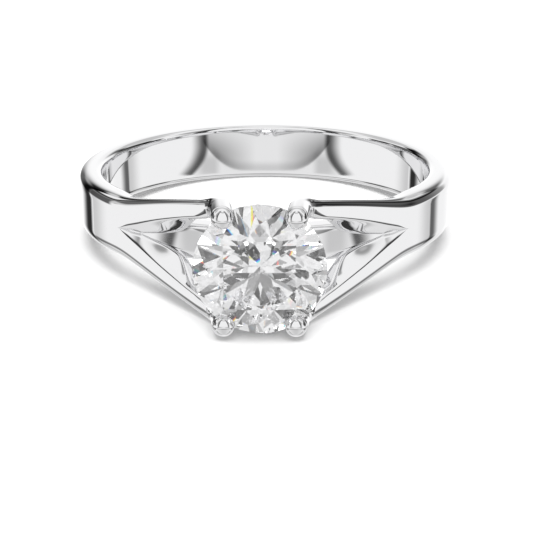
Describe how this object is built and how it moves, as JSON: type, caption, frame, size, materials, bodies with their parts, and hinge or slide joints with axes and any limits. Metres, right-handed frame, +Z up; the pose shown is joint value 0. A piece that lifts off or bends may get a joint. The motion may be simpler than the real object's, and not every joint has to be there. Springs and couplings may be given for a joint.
{
  "type": "split shank solitaire ring",
  "caption": "Finger ring: a flat polished band forks on each side into arms that spread and end as bead-tipped prongs round a faceted round stone, with a bridge closing the finger hole.",
  "frame": {"origin": "centre of the finger hole, midway along its wall", "axes": "+X to the right when the stone faces the viewer, +Y from the stone toward the back of the band, +Z up from the surface the ring lies on; the hole's own axis leans about 4 degrees from +Z toward +Y"},
  "size_m": [0.0194, 0.0238, 0.0062],
  "materials": {
    "white_gold": "mirror-polished rhodium-plated white gold",
    "stone": "clear colourless diamond, brilliant cut"
  },
  "bodies": {
    "root": {"ring_casting": "white_gold", "centre_stone": "stone"}
  },
  "joints": []
}
